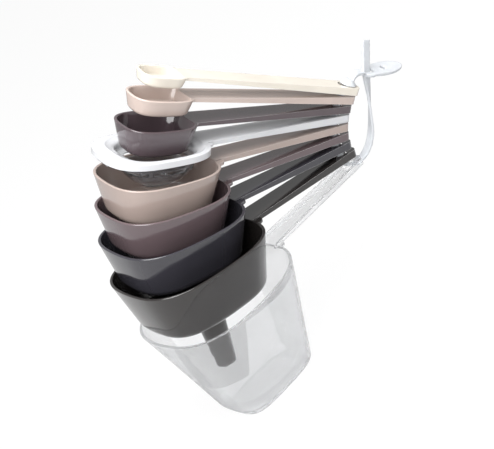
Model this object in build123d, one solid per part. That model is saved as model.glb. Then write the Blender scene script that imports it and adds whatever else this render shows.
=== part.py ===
from build123d import *
import os
from dataclasses import dataclass
from math import cos, pi, sin

# Measuring cup set: a clear jug, a funnel, three cups, an egg separator and three spoons.
# All hang on one flexible strap through the tips of their handles, and they are fanned open.
# Frame: origin at the centre of the jug's base, +Z up, +X from the bowls to the handle tips.
# Lengths are in millimetres and angles in degrees.

# Stack and fan
JUG_HEIGHT = 71.0
REACH = 135.8            # bowl centre to handle tip
STACK_PITCH = 5.6        # from one rim to the next when nested
STACK_SHIFT = 1.5        # the pieces above the jug sit this much nearer the handle tips
FAN_CENTRE = (142.2, 0.0, 89.0)
FAN_DIRECTION = (0.487, 0.825, -0.287)

# Bowls: plan outline |x/a|^n + |y/b|^n = 1, drawn in towards the bottom
OUTLINE_POINTS = 28
SQUARENESS = (2.93, 2.93)    # n at the rim and at the base
TAPER = (0.25, 0.22)         # inward slope of the two ends and of the two long sides
JUG_SQUARENESS = (2.6, 4.2)
JUG_TAPER = (0.265, 0.328)
WALL = 1.6
RIM_ROUND = 0.5          # rounding of every rim and of the handles' top edges

# Handles: a flat plate with a skirt turned down along both sides, deeper towards the tip
PLATE = 1.6
TIP_SKIRT_DEPTH = 4.8    # at the tip; the skirt starts level with the plate at the bowl's centre
SKIRT_WALL = 1.4
SKIRT_BITE = 2.5         # how far the skirt runs into the bowl's wall
ROOT_HALF_WIDTH = 10.2
TIP_HALF_WIDTH = 6.3
TIP_RADIUS = 4.0
ROOT_FILLET = 5.0
SLOT_INSET = 9.0
SLOT_LENGTH = 10.0
SLOT_WIDTH = 7.4

# Funnel spout
SPOUT_LENGTH = 43.0
SPOUT_TOP_RADIUS = 9.8
SPOUT_END_RADIUS = 6.2

# Egg separator
FLANGE_DEPTH = 3.8
FLANGE_NARROW = 3.2
FLANGE_SHIFT = 2.4       # the opening sits nearer the handle, so the flange is widest at the far end
BOWL_DEPTH = 22.0
SHOULDER = 0.80          # share of the opening left just below the flange
SHOULDER_DEPTH = 3.6
BOWL_FLOOR = 0.40        # share of the shoulder left at the flat bottom of the bowl
DRAIN_TOP = 9.4
DRAIN_HEIGHT = 2.6
RIB_X = 12.0             # from the bowl's centre to each of the four ribs between the drains
RIB_HALF_WIDTH = 1.3
TAB_LENGTH = 3.0
TAB_WIDTH = 12.0
TAB_DEPTH = 5.3          # just short of the cup below when nested

# Strap: a flat band. Each path point is x, y, z and the turn of the band's width away from Y.
BAND_WIDTH = 6.0
BAND_THICK = 1.8
STRAP_TAIL = [
    (173.8, -10.7, 131.1, 90),
    (168.5, -10.0, 121.6, 90),
    (163.8, -8.8, 111.5, 85),
    (160.8, -7.5, 101.7, 60),
    (157.3, -6.3, 92.1, 40),
    (154.0, -5.2, 83.8, 25),
    (150.9, -4.4, 77.6, 12),
    (146.1, -3.1, 71.7, 4),
    (141.0, -2.1, 68.6, 0),
    (136.0, -1.2, 67.4, 0),
    (131.4, -0.5, 67.7, 0),
]
STRAP_NECK = [
    (150.4, -10.4, 118.0, 8),
    (154.2, -10.2, 118.6, 16),
    (158.4, -9.6, 117.4, 24),
    (162.2, -8.9, 115.6, 30),
]
NECK_LEAN = 2.4          # the band leaves the last slot this much nearer the handle tip
STRAP_STEPS = 6          # sections between two path points
STOP_RADII = (5.4, 2.4)  # flared stop on top of the last slot
STOP_HEIGHT = 3.4
STOP_GAP = 0.3
PADDLE_CENTRE = (178.7, -8.2, 107.2)
PADDLE_ALONG = (0.917, 0.0, -0.398)
PADDLE_TWIST = 30
PADDLE_HALF_LENGTH = 16.0
PADDLE_HALF_WIDTH = 6.7
PADDLE_THICK = 2.0
PADDLE_HOLE_RADIUS = 1.9
KEEPER_INSET = 12.6      # paddle centre to the slot that the tail passes through
KEEPER_RADIUS = 5.6
KEEPER_SLOT = (7.4, 4.2)


@dataclass
class Tool:
    level: int           # place in the stack, counted from the jug
    fan: float           # angle it is fanned out from the nested stack
    half_length: float
    half_width: float
    depth: float
    corner: float        # radius round the bottom edge
    flat_end: float = 1.0   # share of half_length at which the handle end is cut straight
    shift: float = 0.0      # how much nearer the handle tip the bowl sits
    squareness: tuple = SQUARENESS
    taper: tuple = TAPER


TOOLS = {
    "clear_jug": Tool(0, 0.0, 46.8, 44.0, JUG_HEIGHT, 7.5, 1.0, 0.4, JUG_SQUARENESS, JUG_TAPER),
    "funnel": Tool(1, 10.03, 44.9, 38.0, 33.0, 6.0),
    "half_cup": Tool(2, 16.88, 41.0, 34.7, 28.5, 6.5),
    "third_cup": Tool(3, 22.20, 37.0, 31.8, 26.0, 6.5),
    "quarter_cup": Tool(4, 27.30, 34.3, 29.4, 24.0, 5.0),
    "egg_separator": Tool(5, 31.07, 32.3, 26.2, BOWL_DEPTH, 0.0, 1.0, -2.5),
    "tablespoon": Tool(6, 34.91, 22.6, 18.4, 16.4, 3.0, 0.92),
    "teaspoon": Tool(7, 39.58, 19.0, 13.8, 10.0, 2.4, 0.86, 0.6),
    "half_teaspoon": Tool(8, 42.85, 14.2, 10.8, 6.9, 2.4, 0.82, -1.2),
}
LAST_TOOL = TOOLS["half_teaspoon"]


def outline(tool, half_x, half_y, z, at_base=False):
    """Closed plan outline at height z, cut straight at the handle end if the tool's flat_end < 1."""
    power = tool.squareness[1 if at_base else 0]

    def point(angle):
        c = cos(angle)
        s = sin(angle)
        x = half_x * abs(c) ** (2 / power) * (1 if c > 0 else -1)
        y = half_y * abs(s) ** (2 / power) * (1 if s > 0 else -1)
        return (x, y, z)

    if tool.flat_end >= 1.0:
        ring = [point(2 * pi * (i + 0.5) / OUTLINE_POINTS) for i in range(OUTLINE_POINTS)]
        return Wire([Spline(ring, periodic=True)])
    corner_y = half_y * (1 - tool.flat_end ** power) ** (1 / power)
    corner_x = half_x * tool.flat_end
    first = 2 * pi / OUTLINE_POINTS
    angles = [first * (i + 1) for i in range(OUTLINE_POINTS - 1)]
    between = [p for p in map(point, angles) if p[0] < corner_x * 0.985]
    ends = [(corner_x, corner_y, z), (corner_x, -corner_y, z)]
    head = Spline([ends[0]] + between + [ends[1]])
    return Wire([head, Line(ends[1], ends[0])])


def tapered(tool, wall, bottom):
    """Solid from the rim down to z = bottom, a wall's thickness inside the outer surface."""
    half_x = tool.half_length - wall
    half_y = tool.half_width - wall
    end_taper, side_taper = tool.taper
    upper = outline(tool, half_x, half_y, 0)
    lower = outline(tool, half_x + end_taper * bottom, half_y + side_taper * bottom, bottom, True)
    return Solid.make_loft([upper, lower], ruled=True)


def bottom_edges(solid):
    return solid.edges().group_by(Axis.Z)[0]


def top_face(solid):
    return solid.faces().sort_by(Axis.Z)[-1]


def bowl_outside(tool):
    body = fillet(bottom_edges(tapered(tool, 0, -tool.depth)), tool.corner)
    body = fillet(top_face(body).outer_wire().edges(), RIM_ROUND)
    return Pos(tool.shift, 0) * body


def bowl_inside(tool):
    body = fillet(bottom_edges(tapered(tool, WALL, WALL - tool.depth)), tool.corner - WALL * 0.6)
    return Pos(tool.shift, 0) * body


def end_x(tool, y):
    """How far the rim outline reaches towards the handle at a distance y from the middle."""
    power = tool.squareness[0]
    round_x = tool.half_length * (1 - (y / tool.half_width) ** power) ** (1 / power)
    return min(round_x, tool.half_length * tool.flat_end) + tool.shift


def end_half_width(tool):
    """Half the straight part of the bowl's handle end."""
    power = tool.squareness[0]
    return tool.half_width * (1 - min(tool.flat_end, 0.95) ** power) ** (1 / power)


def handle_plan(root):
    """Plan of a handle from the bowl's centre to its tip, with a rounded tip."""
    corners = [(0, -root), (REACH, -TIP_HALF_WIDTH), (REACH, TIP_HALF_WIDTH), (0, root)]
    plan = make_face(Polyline(*corners, close=True))
    return fillet(plan.vertices().sort_by(Axis.X)[-2:], TIP_RADIUS)


def root_blend(tool, root, side):
    """Small concave web between the rim and one side of the handle."""
    radius = min(ROOT_FILLET, end_half_width(tool) - root)
    rim_x = end_x(tool, root + radius)
    inner_x = rim_x - tool.half_length * 0.2
    arc_start = (rim_x, side * (root + radius))
    arc_end = (rim_x + radius, side * root)
    arc = RadiusArc(arc_start, arc_end, side * radius)
    edges = Polyline(arc_end, (inner_x, side * root), (inner_x, side * (root + radius)), arc_start)
    return make_face([arc, edges])


def skirt_wedge():
    """Room that the skirts may fill: it deepens evenly from the bowl's centre to the tip."""
    side = Polyline((0, 0), (0, -PLATE), (REACH, -TIP_SKIRT_DEPTH), (REACH, 0), close=True)
    return extrude(Plane.XZ * make_face(side), 2 * ROOT_HALF_WIDTH, both=True)


def handle(tool):
    """Top plate, blended into the bowl's rim, with a skirt that starts at the bowl's wall."""
    root = min(ROOT_HALF_WIDTH, end_half_width(tool) - 1.0)
    rim_x = end_x(tool, root)
    plan = handle_plan(root)
    webbed = plan + root_blend(tool, root, 1) + root_blend(tool, root, -1)
    wide = Rectangle(REACH, 6 * ROOT_HALF_WIDTH)
    plate = extrude(webbed & Pos(rim_x * 0.85 + REACH / 2, 0) * wide, -PLATE)
    hollow = offset(plan, -SKIRT_WALL)
    open_tip = Pos(REACH, 0) * Rectangle(4 * TIP_RADIUS, 2 * (TIP_HALF_WIDTH - SKIRT_WALL))
    ring = (plan - hollow - open_tip) & Pos(rim_x - SKIRT_BITE + REACH / 2, 0) * wide
    body = plate + (extrude(ring, -TIP_SKIRT_DEPTH) & skirt_wedge())
    sides = top_face(body).outer_wire().edges().filter_by(lambda e: e.center().X > rim_x)
    body = fillet(sides, RIM_ROUND)
    slot = Pos(REACH - SLOT_INSET, 0, 0) * SlotOverall(SLOT_LENGTH, SLOT_WIDTH)
    return body - extrude(slot, -PLATE)


def hollowed(tool, body, inside):
    """Takes the inside out of a piece and rounds the inner edge of its rim."""
    body = body - inside
    openings = [w for w in top_face(body).inner_wires() if w.center().X < tool.half_length]
    return fillet(openings[0].edges(), RIM_ROUND)


def measure(tool):
    """A cup or spoon: hollow tapered bowl and handle in one moulding, rim at z = 0."""
    return hollowed(tool, bowl_outside(tool) + handle(tool), bowl_inside(tool))


def funnel(tool):
    """A cup whose floor opens into a long tapered spout."""
    middle = Pos(0, 0, WALL - tool.depth - SPOUT_LENGTH / 2) * Rotation(180, 0, 0)
    outside = middle * Cone(SPOUT_TOP_RADIUS, SPOUT_END_RADIUS, SPOUT_LENGTH)
    bore = middle * Cone(SPOUT_TOP_RADIUS - WALL, SPOUT_END_RADIUS - WALL, SPOUT_LENGTH)
    return measure(tool) + outside - bore


def dish(tool, wall, depth):
    """Separator bowl: a shoulder, then outlines that shrink along an ellipse to a flat bottom."""
    half_x = tool.half_length - FLANGE_NARROW - FLANGE_SHIFT + wall
    half_y = tool.half_width - FLANGE_NARROW + wall
    steps = 6
    sections = [outline(tool, half_x, half_y, 0)]
    for i in range(steps + 1):
        share = i / steps
        scale = SHOULDER * max(cos(share * pi / 2) ** 0.8, BOWL_FLOOR)
        z = -SHOULDER_DEPTH - (depth - SHOULDER_DEPTH) * sin(share * pi / 2)
        sections.append(outline(tool, half_x * scale, half_y * scale, z))
    return Pos(tool.shift + FLANGE_SHIFT, 0) * Solid.make_loft(sections)


def drains(tool):
    """Arc-shaped drains low in the separator bowl: one on each side and one round each end."""
    reach = tool.half_length
    height = DRAIN_HEIGHT
    middle = Pos(tool.shift + FLANGE_SHIFT, 0, -DRAIN_TOP - height / 2)
    cutters = []
    for side in (-1, 1):
        along = Pos(0, side * (reach / 2 + tool.half_width * 0.25)) * Box(
            2 * (RIB_X - RIB_HALF_WIDTH), reach, height
        )
        round_end = Pos(side * (reach / 2 + RIB_X + RIB_HALF_WIDTH), 0) * Box(reach, 2 * reach, height)
        cutters += [middle * along, middle * round_end]
    return cutters


def egg_separator(tool):
    """Skirted flange with a round bowl whose side is pierced by arc-shaped drains."""
    flange = extrude(make_face(outline(tool, tool.half_length, tool.half_width, 0)), -FLANGE_DEPTH)
    inner = outline(tool, tool.half_length - SKIRT_WALL, tool.half_width - SKIRT_WALL, -PLATE)
    flange -= extrude(make_face(inner), -FLANGE_DEPTH)
    flange = fillet(top_face(flange).outer_wire().edges(), RIM_ROUND)
    body = Pos(tool.shift, 0) * flange + handle(tool) + dish(tool, WALL * 0.8, tool.depth)
    body = hollowed(tool, body, dish(tool, 0, tool.depth - WALL))
    for cutter in drains(tool):
        body -= cutter
    tab_x = tool.shift - tool.half_length + TAB_LENGTH / 2 + SKIRT_WALL
    return body + Pos(tab_x, 0, -TAB_DEPTH / 2) * Box(TAB_LENGTH, TAB_WIDTH, TAB_DEPTH)


def place(tool, piece):
    """Moves a piece from its own frame to its fanned place above the jug."""
    shift = STACK_SHIFT if tool.level else 0.0
    nested = Pos(shift, 0, JUG_HEIGHT + STACK_PITCH * tool.level) * piece
    return nested.rotate(Axis(FAN_CENTRE, FAN_DIRECTION), tool.fan)


def in_slot(tool, lean=0.0):
    """Where the band passes the strap slot of a placed piece; lean is towards the handle tip."""
    mark = place(tool, Pos(REACH - SLOT_INSET + lean, 0, -PLATE / 2) * Sphere(0.5))
    return tuple(mark.center())


def band_section(centre, tangent, turn):
    """Cross-section of the strap, its width turned away from Y towards the side by the given angle."""
    flat = Plane(origin=centre, x_dir=(0, 1, 0), z_dir=tangent)
    return (flat * Rot(0, 0, turn) * Rectangle(BAND_WIDTH, BAND_THICK)).wire()


def band():
    """The strap's whole run: free tail, lower loop, through every slot, and up to the paddle."""
    slots = [(*in_slot(tool), 0) for tool in TOOLS.values()]
    slots[-1] = (*in_slot(LAST_TOOL, NECK_LEAN), 0)
    path = STRAP_TAIL + slots + STRAP_NECK
    line = Spline([p[:3] for p in path])
    count = (len(path) - 1) * STRAP_STEPS
    shares = [line.param_at_point(p[:3]) for p in path]
    sections = []
    for i in range(count + 1):
        leg = min(i // STRAP_STEPS, len(path) - 2)
        inside = i / STRAP_STEPS - leg
        share = shares[leg] + (shares[leg + 1] - shares[leg]) * inside
        turn = path[leg][3] + (path[leg + 1][3] - path[leg][3]) * inside
        sections.append(band_section(line @ share, line % share, turn))
    return Solid.make_loft(sections, ruled=True)


def paddle():
    """Leaf-shaped end of the strap, with a keeper slot for the tail and a round hang hole."""
    leaf = Ellipse(PADDLE_HALF_LENGTH, PADDLE_HALF_WIDTH)
    leaf += Pos(-KEEPER_INSET, 0) * Circle(KEEPER_RADIUS)
    leaf -= Pos(-KEEPER_INSET, 0) * Rectangle(*KEEPER_SLOT)
    leaf -= Circle(PADDLE_HOLE_RADIUS)
    solid = extrude(leaf, PADDLE_THICK / 2, both=True)
    along = Vector(*PADDLE_ALONG)
    across = Vector(0, 1, 0).rotate(Axis((0, 0, 0), PADDLE_ALONG), PADDLE_TWIST)
    return Plane(origin=PADDLE_CENTRE, x_dir=along, z_dir=along.cross(across)) * solid


def stop():
    """Flared stop that keeps the band from slipping down through the last slot."""
    flare = Pos(REACH - SLOT_INSET + NECK_LEAN, 0, STOP_GAP + STOP_HEIGHT / 2) * Cone(*STOP_RADII, STOP_HEIGHT)
    return place(LAST_TOOL, flare)


def strap():
    return band() + stop() + paddle()


def main():
    makers = {"funnel": funnel, "egg_separator": egg_separator}
    pieces = {}
    for name, tool in TOOLS.items():
        pieces[name] = place(tool, makers.get(name, measure)(tool))
    pieces["hanging_strap"] = strap()
    os.makedirs("parts", exist_ok=True)
    for name, piece in pieces.items():
        export_step(piece, f"parts/{name}.step")


main()
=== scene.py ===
import bpy
import math
from mathutils import Matrix, Vector

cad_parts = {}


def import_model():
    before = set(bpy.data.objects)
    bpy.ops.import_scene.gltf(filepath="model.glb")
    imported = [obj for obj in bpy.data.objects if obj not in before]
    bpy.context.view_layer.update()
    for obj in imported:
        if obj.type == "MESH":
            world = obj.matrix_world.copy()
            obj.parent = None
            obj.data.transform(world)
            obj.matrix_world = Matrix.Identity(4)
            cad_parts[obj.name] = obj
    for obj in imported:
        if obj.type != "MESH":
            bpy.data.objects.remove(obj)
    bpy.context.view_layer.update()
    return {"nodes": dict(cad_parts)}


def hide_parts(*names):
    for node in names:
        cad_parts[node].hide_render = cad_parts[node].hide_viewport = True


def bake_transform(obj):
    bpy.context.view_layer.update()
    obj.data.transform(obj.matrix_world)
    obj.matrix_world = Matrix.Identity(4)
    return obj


# Looks of the measuring cup set: glossy moulded cups and spoons, a clear jug and a silicone strap.
# Every CAD solid is shown as it is, except for the strap, which gets a rounded mesh of its own.

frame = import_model()

MM = 0.001

# Colours of the pieces as they look in daylight, red, green and blue from 0 to 255
PLASTICS = {
    "funnel": (37, 34, 33),
    "half_cup": (50, 49, 55),
    "third_cup": (90, 77, 80),
    "quarter_cup": (158, 143, 136),
    "egg_separator": (208, 209, 212),
    "tablespoon": (76, 65, 69),
    "teaspoon": (186, 170, 162),
    "half_teaspoon": (216, 209, 197),
}
# Shader settings, and roughness where the surface is polished and where it is hazed by handling
GLOSS = {"IOR": 1.5, "Coat_Weight": 0.5, "Coat_Roughness": 0.02}
GLOSS_ROUGHNESS = (0.05, 0.10)
CLEAR = {"IOR": 1.45, "Transmission_Weight": 1.0}
CLEAR_ROUGHNESS = (0.0, 0.03)
SATIN = {"IOR": 1.41, "Transmission_Weight": 0.30}
SATIN_ROUGHNESS = (0.28, 0.42)

# The separator is opaque at its rim and nearly clear in its bowl
SEPARATOR_RIM = (0.0210, 0.0099, 0.1604)
SEPARATOR_UP = (0.406, -0.285, 0.868)
SEPARATOR_FADE = (3.6 * MM, 7.0 * MM)    # depths below the rim between which it turns clear
SEPARATOR_CLEARNESS = (0.15, 0.97)       # at the rim and deep in the bowl
STRAP_COLOUR = (212, 215, 219)
EDGE_WIDTH = 0.35 * MM       # reach of the painted highlight along every edge
EDGE_TURN = (0.88, 0.99)     # cosines of the bevelled normal's turn on a full edge and off it
EDGE_HIGHLIGHT_PAINT = (0.6, 0.30)    # the painted edge highlight is the base colour times the first, plus the second
CLEAR_SHARE = 0.35           # share of light that goes straight through the jug's walls, unbent
# painted shade: the jug's colour turns greyer where its walls are seen edge on
CLEAR_FACE_ON = (0.955, 0.958, 0.963, 1)
CLEAR_EDGE_ON_SHADE = (0.78, 0.79, 0.80, 1)
CLEAR_UNBENT = (0.915, 0.92, 0.928, 1)

# Brightness of the room by the height a reflection looks towards, and extra light for the shadows
ROOM_RISE = {"From Min": -0.1, "From Max": 1.0, "To Min": 0.32, "To Max": 0.60}
SHADOW_FILL = 0.25

# Floor: the camera sees mostly its own white glow, and the rest is lit and shadowed
FLOOR_REACH = 6.0
FLOOR_COLOUR = (0.40, 0.40, 0.40, 1)
FLOOR_GLOW = 1.06
FLOOR_GLOW_SHARE = 0.85

# Area lights: place, diameter and power. Both point at the middle of the set.
LIGHTS = {
    "key": ((-0.62, -0.52, 0.72), 0.9, 12),
    "top": ((0.0, -0.15, 1.1), 0.7, 14),
}
LIGHT_TARGET = (0.04, 0, 0.10)

# Camera: the azimuth turns from +Y towards +X, and the roll is clockwise
CAMERA_PLACE = (-0.28701, -0.55128, 0.39234)
CAMERA_AZIMUTH = 30.80
CAMERA_ELEVATION = 25.32
CAMERA_ROLL = -29.26
CAMERA_LENS = 88.3
CAMERA_SENSOR = 36

# Strap: the evenness of its mesh and how many times it is smoothed
STRAP_VOXEL = 0.38 * MM
STRAP_SMOOTHING = 6


def linear(colour):
    """Screen colour, 0 to 255, as linear light with an alpha of 1."""
    shares = [value / 255 for value in colour]
    light = [s / 12.92 if s <= 0.04045 else ((s + 0.055) / 1.055) ** 2.4 for s in shares]
    return (*light, 1.0)


# ---------------------------------------------------------------- node helpers

class Nodes:
    """A new node material, with short calls for the nodes that every material here uses."""

    def __init__(self, name):
        self.material = bpy.data.materials.new(name)
        self.material.use_nodes = True
        self.tree = self.material.node_tree
        self.shader = self.tree.nodes["Principled BSDF"]
        self.output = self.tree.nodes["Material Output"]
        self.coords = self.add("TexCoord").outputs["Object"]

    def add(self, kind, **settings):
        node = self.tree.nodes.new("ShaderNode" + kind)
        for key, value in settings.items():
            setattr(node, key, value)
        return node

    def link(self, source, target):
        self.tree.links.new(source, target)

    def noise(self, size, detail=3.0, roughness=0.5):
        """Noise whose features are about the given size in millimetres."""
        texture = self.add("TexNoise")
        texture.inputs["Scale"].default_value = 1 / (size * MM)
        texture.inputs["Detail"].default_value = detail
        texture.inputs["Roughness"].default_value = roughness
        self.link(self.coords, texture.inputs["Vector"])
        return texture.outputs["Fac"]

    def ramp(self, value, low, high, start=0.3, stop=0.7):
        """Maps start to stop onto low to high."""
        step = self.add("MapRange")
        step.inputs["From Min"].default_value = start
        step.inputs["From Max"].default_value = stop
        step.inputs["To Min"].default_value = low
        step.inputs["To Max"].default_value = high
        self.link(value, step.inputs["Value"])
        return step.outputs["Result"]

    def mix(self, factor, first, second):
        """Mixes two colours, each a tuple or a socket."""
        mix = self.add("Mix", data_type="RGBA")
        self.link(factor, mix.inputs["Factor"])
        for socket, value in (("A", first), ("B", second)):
            if isinstance(value, tuple):
                mix.inputs[socket].default_value = value
            else:
                self.link(value, mix.inputs[socket])
        return mix.outputs["Result"]

    def bump(self, height, depth, under=None):
        """Adds a relief of the given depth in millimetres, on top of another normal if there is one."""
        bump = self.add("Bump")
        bump.inputs["Distance"].default_value = depth * MM
        self.link(height, bump.inputs["Height"])
        if under is not None:
            self.link(under, bump.inputs["Normal"])
        return bump.outputs["Normal"]

    def set(self, **values):
        for key, value in values.items():
            name = key.replace("_", " ")
            self.shader.inputs[name].default_value = value

    def feed(self, **sockets):
        for key, socket in sockets.items():
            self.link(socket, self.shader.inputs[key.replace("_", " ")])

    def show_mixed(self, share, other):
        """Shows the given share of another shader in place of the main one."""
        mix = self.add("MixShader")
        self.link(share, mix.inputs["Fac"])
        self.link(self.shader.outputs["BSDF"], mix.inputs[1])
        self.link(other, mix.inputs[2])
        self.link(mix.outputs["Shader"], self.output.inputs["Surface"])


def scaled(colour, factor):
    return (*[min(1.0, c * factor) for c in colour[:3]], 1.0)


def edge_highlight_mask(m):
    """1 along sharp edges and 0 on the open surface, from how far a bevelled normal strays there. It
    places the painted edge highlight.
    """
    bevel = m.add("Bevel", samples=6)
    bevel.inputs["Radius"].default_value = EDGE_WIDTH
    turn = m.add("VectorMath", operation="DOT_PRODUCT")
    m.link(bevel.outputs["Normal"], turn.inputs[0])
    m.link(m.add("NewGeometry").outputs["Normal"], turn.inputs[1])
    sharp, flat = EDGE_TURN
    return m.ramp(turn.outputs["Value"], 1, 0, sharp, flat)


# ---------------------------------------------------------------- materials

def moulded_plastic(name, colour):
    """Glossy moulded plastic: faint colour drift, handling haze, and a painted highlight along every
    edge.
    """
    m = Nodes(name)
    base = linear(colour)
    drift = m.ramp(m.noise(26, 2.0), 0, 1)
    body = m.mix(drift, scaled(base, 0.95), scaled(base, 1.05))
    # painted highlight: edges are mixed towards a paler colour, standing in for the light that rims
    # catch
    share, added = EDGE_HIGHLIGHT_PAINT
    painted_edge_highlight = (*[c * share + added for c in base[:3]], 1.0)
    m.feed(Base_Color=m.mix(edge_highlight_mask(m), body, painted_edge_highlight))
    m.feed(Roughness=m.ramp(m.noise(9, 4.0, 0.6), *GLOSS_ROUGHNESS))
    ripple = m.bump(m.noise(16, 1.0), 0.012)
    m.feed(Normal=m.bump(m.noise(0.6, 2.0), 0.0004, ripple))
    m.set(**GLOSS)
    return m


def separator_plastic(name, colour):
    """The same plastic, which lets more light through the deeper it lies below the rim."""
    m = moulded_plastic(name, colour)
    offset = m.add("VectorMath", operation="SUBTRACT")
    m.link(m.coords, offset.inputs[0])
    offset.inputs[1].default_value = SEPARATOR_RIM
    height = m.add("VectorMath", operation="DOT_PRODUCT")
    m.link(offset.outputs["Vector"], height.inputs[0])
    height.inputs[1].default_value = SEPARATOR_UP
    shallow, deep = SEPARATOR_FADE
    milky, clear = SEPARATOR_CLEARNESS
    m.feed(Transmission_Weight=m.ramp(height.outputs["Value"], clear, milky, -deep, -shallow))
    return m


def clear_plastic(name):
    """Clear moulded plastic, with painted grey shade where it is seen edge on. Its shadow is nearly
    clear too.
    """
    m = Nodes(name)
    m.set(**CLEAR)
    slope = m.add("LayerWeight")
    slope.inputs["Blend"].default_value = 0.5
    # painted shade: grey is mixed in where the wall is seen edge on
    edge_on_shade = m.ramp(slope.outputs["Facing"], 0, 1, 0.55, 1.0)
    m.feed(Base_Color=m.mix(edge_on_shade, CLEAR_FACE_ON, CLEAR_EDGE_ON_SHADE))
    m.feed(Roughness=m.ramp(m.noise(7, 4.0, 0.6), *CLEAR_ROUGHNESS))
    m.feed(Normal=m.bump(m.noise(18, 1.0), 0.03))
    through = m.add("BsdfTransparent")
    through.inputs["Color"].default_value = CLEAR_UNBENT
    share = m.add("Math", operation="MAXIMUM")
    m.link(m.add("LightPath").outputs["Is Shadow Ray"], share.inputs[0])
    share.inputs[1].default_value = CLEAR_SHARE
    m.show_mixed(share.outputs["Value"], through.outputs["BSDF"])
    return m.material


def silicone(name):
    """Soft milky silicone with a satin skin and a fine moulded grain."""
    m = Nodes(name)
    base = linear(STRAP_COLOUR)
    cloud = m.ramp(m.noise(5, 3.0), 0, 1)
    m.feed(Base_Color=m.mix(cloud, scaled(base, 0.96), scaled(base, 1.03)))
    m.feed(Roughness=m.ramp(m.noise(3, 4.0), *SATIN_ROUGHNESS))
    grain = m.bump(m.noise(0.35, 2.0), 0.004)
    m.feed(Normal=m.bump(m.noise(4, 2.0), 0.05, grain))
    m.set(**SATIN)
    return m.material


def dress(obj, material):
    obj.data.materials.clear()
    obj.data.materials.append(material)


# ---------------------------------------------------------------- strap

def strap_piece():
    """Rounded silicone strap, made from the CAD strap: an even mesh whose edges are then softened."""
    solid = frame["nodes"]["hanging_strap"]
    piece = bpy.data.objects.new("silicone_strap", solid.data.copy())
    bpy.context.scene.collection.objects.link(piece)
    remesh = piece.modifiers.new("even", "REMESH")
    remesh.mode = "VOXEL"
    remesh.voxel_size = STRAP_VOXEL
    remesh.use_smooth_shade = True
    smooth = piece.modifiers.new("soften", "SMOOTH")
    smooth.iterations = STRAP_SMOOTHING
    smooth.factor = 0.5
    bpy.context.view_layer.objects.active = piece
    for name in ("even", "soften"):
        bpy.ops.object.modifier_apply(modifier=name)
    dress(piece, silicone("strap_silicone"))
    return piece


def main_strap():
    """Shows the rounded strap in place of the CAD one."""
    piece = strap_piece()
    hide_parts("hanging_strap")
    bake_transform(piece)


# ---------------------------------------------------------------- stage, lights, camera

def stage_floor():
    """Wide pale floor. The camera sees it as nearly white, with only a faint shadow."""
    reach = FLOOR_REACH
    corners = [(-reach, -reach, 0), (reach, -reach, 0), (reach, reach, 0), (-reach, reach, 0)]
    mesh = bpy.data.meshes.new("floor")
    mesh.from_pydata(corners, [], [(0, 1, 2, 3)])
    floor = bpy.data.objects.new("floor", mesh)
    bpy.context.scene.collection.objects.link(floor)
    m = Nodes("floor_white")
    m.set(Base_Color=FLOOR_COLOUR, Roughness=0.9)
    glow = m.add("Emission")
    glow.inputs["Strength"].default_value = FLOOR_GLOW
    share = m.add("Math", operation="MULTIPLY")
    share.inputs[1].default_value = FLOOR_GLOW_SHARE
    path = m.add("LightPath")
    seen = m.add("Math", operation="MAXIMUM")
    m.link(path.outputs["Is Camera Ray"], seen.inputs[0])
    m.link(path.outputs["Is Transmission Ray"], seen.inputs[1])
    m.link(seen.outputs["Value"], share.inputs[0])
    m.show_mixed(share.outputs["Value"], glow.outputs["Emission"])
    floor.data.materials.append(m.material)


def area_light(name, place, size, power):
    data = bpy.data.lights.new(name, "AREA")
    data.shape = "DISK"
    data.size = size
    data.energy = power
    light = bpy.data.objects.new(name, data)
    light.location = place
    light.rotation_euler = (Vector(LIGHT_TARGET) - Vector(place)).to_track_quat("-Z", "Y").to_euler()
    bpy.context.scene.collection.objects.link(light)


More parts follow.
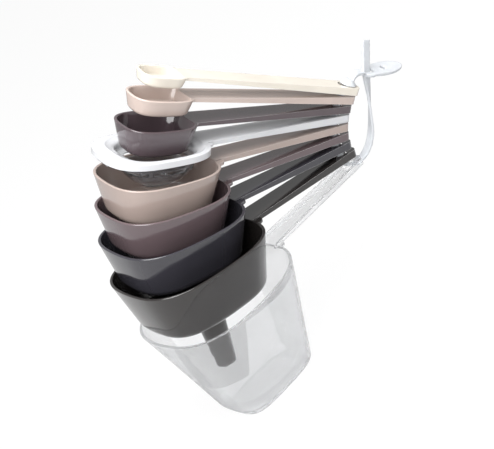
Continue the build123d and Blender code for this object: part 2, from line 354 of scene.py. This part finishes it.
def camera():
    azimuth, elevation, roll = map(math.radians, (CAMERA_AZIMUTH, CAMERA_ELEVATION, CAMERA_ROLL))
    data = bpy.data.cameras.new("camera")
    data.sensor_width = CAMERA_SENSOR
    data.lens = CAMERA_LENS
    flat = Vector((math.sin(azimuth), math.cos(azimuth), 0))
    forward = flat * math.cos(elevation) + Vector((0, 0, -math.sin(elevation)))
    level_right = Vector((math.cos(azimuth), -math.sin(azimuth), 0))
    level_up = level_right.cross(forward)
    right = level_right * math.cos(roll) + level_up * math.sin(roll)
    up = level_up * math.cos(roll) - level_right * math.sin(roll)
    basis = Matrix((right, up, -forward)).transposed().to_4x4()
    view = bpy.data.objects.new("camera", data)
    view.matrix_world = Matrix.Translation(Vector(CAMERA_PLACE)) @ basis
    bpy.context.scene.collection.objects.link(view)
    bpy.context.scene.camera = view


def world():
    """White studio. Reflections see a greyer room, brighter overhead, so that plastics keep depth."""
    studio = bpy.data.worlds.new("studio")
    studio.use_nodes = True
    tree = studio.node_tree

    def add(kind, operation=None):
        node = tree.nodes.new("ShaderNode" + kind)
        if operation:
            node.operation = operation
        return node

    split = add("SeparateXYZ")
    tree.links.new(add("TexCoord").outputs["Generated"], split.inputs["Vector"])
    rise = add("MapRange")
    for name, value in ROOM_RISE.items():
        rise.inputs[name].default_value = value
    tree.links.new(split.outputs["Z"], rise.inputs["Value"])
    path = add("LightPath")
    fill = add("Math", "MULTIPLY_ADD")
    tree.links.new(path.outputs["Is Diffuse Ray"], fill.inputs[0])
    fill.inputs[1].default_value = SHADOW_FILL
    tree.links.new(rise.outputs["Result"], fill.inputs[2])
    direct = add("Math", "MAXIMUM")
    tree.links.new(path.outputs["Is Camera Ray"], direct.inputs[0])
    tree.links.new(path.outputs["Is Transmission Ray"], direct.inputs[1])
    pick = add("Mix")
    tree.links.new(direct.outputs["Value"], pick.inputs["Factor"])
    tree.links.new(fill.outputs["Value"], pick.inputs["A"])
    pick.inputs["B"].default_value = 1.0
    tree.links.new(pick.outputs["Result"], tree.nodes["Background"].inputs["Strength"])
    tree.nodes["Background"].inputs["Color"].default_value = (1, 1, 1, 1)
    bpy.context.scene.world = studio


for node, colour in PLASTICS.items():
    recipe = separator_plastic if node == "egg_separator" else moulded_plastic
    dress(frame["nodes"][node], recipe(node + "_plastic", colour).material)
dress(frame["nodes"]["clear_jug"], clear_plastic("clear_jug_plastic"))
main_strap()
stage_floor()
world()
for light, (place, size, power) in LIGHTS.items():
    area_light(light, place, size, power)
camera()
bpy.context.scene.view_settings.view_transform = "Standard"
